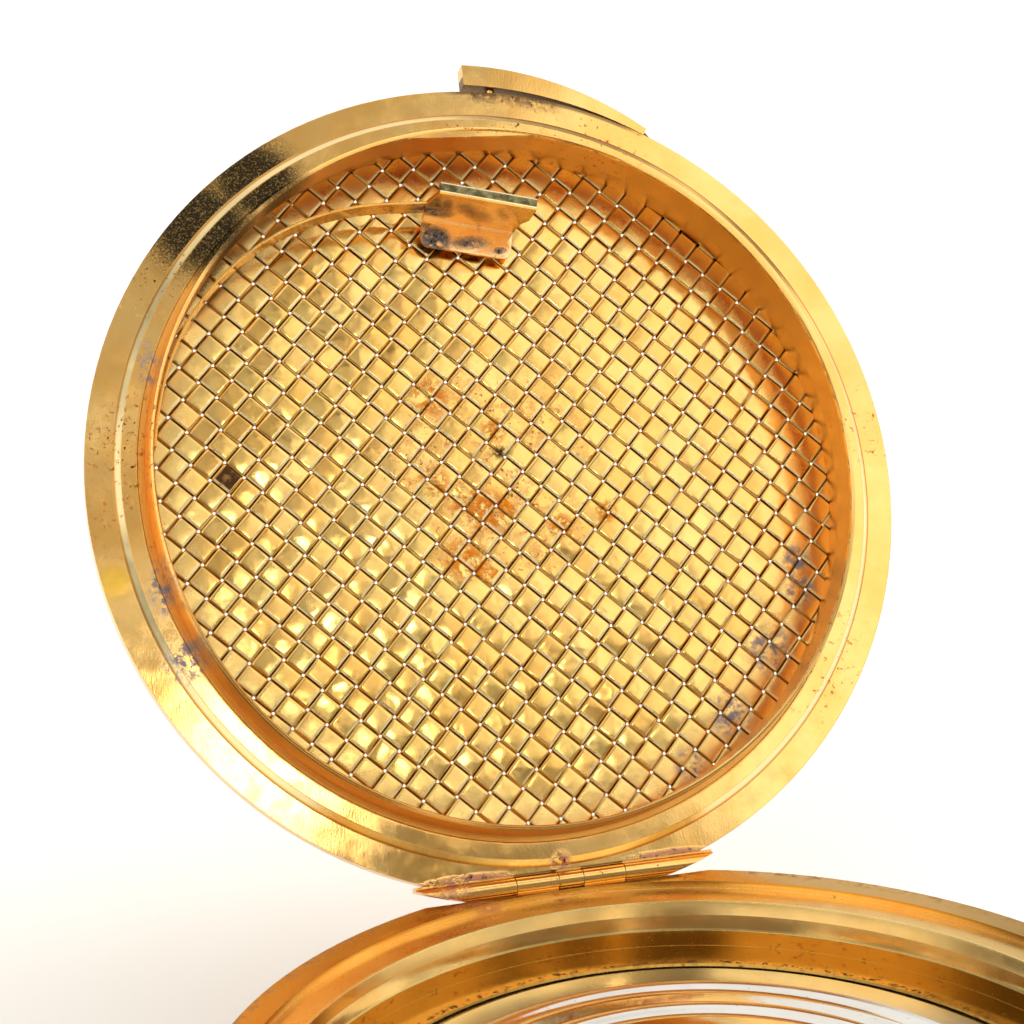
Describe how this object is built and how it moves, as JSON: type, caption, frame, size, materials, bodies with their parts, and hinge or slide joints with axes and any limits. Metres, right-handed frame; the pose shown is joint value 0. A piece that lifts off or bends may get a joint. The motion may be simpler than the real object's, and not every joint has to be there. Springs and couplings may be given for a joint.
{
  "type": "open face pocket watch",
  "caption": "Open-face pocket watch lying dial down with its hinged woven gold back cover open on its stop, showing a spring latch, thumb lever and a silver-tone dust cover.",
  "frame": {"origin": "centre of the crystal's outer face, which the watch rests on", "axes": "+Z out of the watch's back, the pendant and crown at -Y, the cover's hinge at +Y along X"},
  "size_m": [0.0492, 0.0872, 0.0536],
  "materials": {
    "gold": "polished",
    "woven_gold": "polished",
    "catch_gold": "satin",
    "white_metal": "polished",
    "glass": "polished",
    "rubber": "matte",
    "steel": "satin",
    "plate": "satin",
    "brass": "satin",
    "ruby": "gloss",
    "dial": "satin",
    "markers": "polished"
  },
  "bodies": {
    "case": {"case_band": "gold", "bezel": "gold", "crystal": "glass", "crystal_gasket": "rubber", "dust_cover": "white_metal", "catch_strike": "gold", "case_hinge_knuckles": "gold", "hinge_pin": "gold", "pendant": "gold", "bow_screws": "gold", "mainplate": "plate", "barrel_bridge": "plate", "train_bridge": "plate", "balance_cock": "plate", "pallet_cock": "plate", "jewels": "ruby", "bridge_screws": "steel", "crown_wheel_core": "steel", "click_screw": "steel", "hairspring": "steel", "dial": "dial", "hour_markers": "markers"},
    "cover": {"cover_rim": "gold", "cover_lip": "gold", "weave_retainer": "gold", "weave_warp": "woven_gold", "weave_weft": "woven_gold", "cover_hinge_knuckles": "gold", "lever_pin": "gold"},
    "latch": {"latch_spring": "catch_gold", "catch_hook": "catch_gold"},
    "lever": {"thumb_lever": "gold"},
    "push": {"push_pin": "gold"},
    "bow": {"bow": "gold"},
    "winding": {"winding_pinion": "steel", "clutch_wheel": "steel"},
    "crown_and_stem": {"crown": "gold", "winding_stem": "steel"},
    "crown_gear": {"crown_wheel": "steel"},
    "ratchet": {"ratchet_wheel": "steel", "ratchet_screw": "steel", "barrel_arbor": "steel"},
    "click": {"click": "steel"},
    "barrel": {"mainspring_barrel": "brass", "barrel_cover": "brass", "mainspring": "steel"},
    "centre": {"centre_wheel": "brass"},
    "third": {"third_wheel": "brass"},
    "fourth": {"fourth_wheel": "brass", "seconds_hand": "steel"},
    "escape": {"escape_wheel": "brass"},
    "pallets": {"pallet_fork": "steel"},
    "balance": {"balance_wheel": "brass"},
    "cannon": {"cannon_pinion": "steel", "minute_hand": "steel"},
    "minute_work": {"minute_wheel": "brass"},
    "hour_work": {"hour_wheel": "brass", "hour_hand": "steel"}
  },
  "joints": [
    {"name": "cover_hinge", "type": "hinge", "parent": "case", "child": "cover", "pos_m": [0, 0.02326, 0.01019], "axis": [1, 0, 0], "range_deg": [0, 117.7]},
    {"name": "thumb_press", "type": "hinge", "parent": "cover", "child": "lever", "pos_m": [0.01229, 0.04371, 0.04794], "axis": [0, 0.8854, -0.4648], "range_deg": [-2.2, 0], "stiffness_Nm_per_rad": 0.5},
    {"name": "latch_flex", "type": "hinge", "parent": "cover", "child": "latch", "pos_m": [-0.01895, 0.03743, 0.03694], "axis": [0, 0.8854, -0.4648], "range_deg": [0, 0.75]},
    {"name": "push_pin_slide", "type": "slide", "parent": "cover", "child": "push", "axis": [0, -0.4648, -0.8854], "range_m": [0, 0.0004]},
    {"name": "bow_swing", "type": "hinge", "parent": "case", "child": "bow", "pos_m": [0, -0.0269, 0.0043], "axis": [1, 0, 0], "range_deg": [-90, 90]},
    {"name": "crown_turn", "type": "hinge", "parent": "case", "child": "winding", "pos_m": [0, -0.0175, 0.0043], "axis": [0, 1, 0], "continuous": true},
    {"name": "crown_pull", "type": "slide", "parent": "winding", "child": "crown_and_stem", "axis": [0, -1, 0], "range_m": [0, 0.001]},
    {"name": "crown_wheel_turn", "type": "hinge", "parent": "case", "child": "crown_gear", "pos_m": [-0.00002, -0.01318, 0.006], "axis": [0, 0, 1], "continuous": true},
    {"name": "ratchet_turn", "type": "hinge", "parent": "case", "child": "ratchet", "pos_m": [-0.0052, -0.00735, 0.006], "axis": [0, 0, 1], "continuous": true},
    {"name": "click_rock", "type": "hinge", "parent": "case", "child": "click", "pos_m": [-0.01005, -0.00455, 0.006], "axis": [0, 0, 1], "range_deg": [-8, 0]},
    {"name": "fourth_turn", "type": "hinge", "parent": "case", "child": "fourth", "pos_m": [0, 0.0095, 0.004], "axis": [0, 0, 1], "continuous": true},
    {"name": "third_turn", "type": "hinge", "parent": "case", "child": "third", "pos_m": [-0.00332, 0.00535, 0.004], "axis": [0, 0, 1], "continuous": true},
    {"name": "centre_turn", "type": "hinge", "parent": "case", "child": "centre", "pos_m": [0, 0, 0.004], "axis": [0, 0, 1], "continuous": true},
    {"name": "barrel_turn", "type": "hinge", "parent": "case", "child": "barrel", "pos_m": [-0.0052, -0.00735, 0.004], "axis": [0, 0, 1], "continuous": true},
    {"name": "escape_turn", "type": "hinge", "parent": "case", "child": "escape", "pos_m": [0.00455, 0.00784, 0.004], "axis": [0, 0, 1], "continuous": true},
    {"name": "pallet_rock", "type": "hinge", "parent": "case", "child": "pallets", "pos_m": [0.00843, 0.0061, 0.0045], "axis": [0, 0, 1], "range_deg": [-5, 5]},
    {"name": "balance_swing", "type": "hinge", "parent": "case", "child": "balance", "pos_m": [0.012, 0.0045, 0.005], "axis": [0, 0, 1], "range_deg": [-270, 270]},
    {"name": "hands_turn", "type": "hinge", "parent": "case", "child": "cannon", "pos_m": [0, 0, 0.002], "axis": [0, 0, 1], "continuous": true},
    {"name": "minute_wheel_turn", "type": "hinge", "parent": "case", "child": "minute_work", "pos_m": [0, -0.00288, 0.0024], "axis": [0, 0, 1], "continuous": true},
    {"name": "hour_turn", "type": "hinge", "parent": "case", "child": "hour_work", "pos_m": [0, 0, 0.0022], "axis": [0, 0, 1], "continuous": true}
  ],
  "couplings": [
    {"joint": "push_pin_slide", "follows": "thumb_press", "m_per_rad": -0.0096941},
    {"joint": "latch_flex", "follows": "thumb_press", "ratio": -0.34},
    {"joint": "crown_wheel_turn", "follows": "crown_turn", "ratio": 0.36842},
    {"joint": "ratchet_turn", "follows": "crown_turn", "ratio": -0.35},
    {"joint": "third_turn", "follows": "fourth_turn", "ratio": -0.13333},
    {"joint": "centre_turn", "follows": "fourth_turn", "ratio": 0.016667},
    {"joint": "barrel_turn", "follows": "fourth_turn", "ratio": -0.0025641},
    {"joint": "escape_turn", "follows": "fourth_turn", "ratio": -10},
    {"joint": "minute_wheel_turn", "follows": "hands_turn", "ratio": -0.33333},
    {"joint": "hour_turn", "follows": "hands_turn", "ratio": 0.083333}
  ]
}
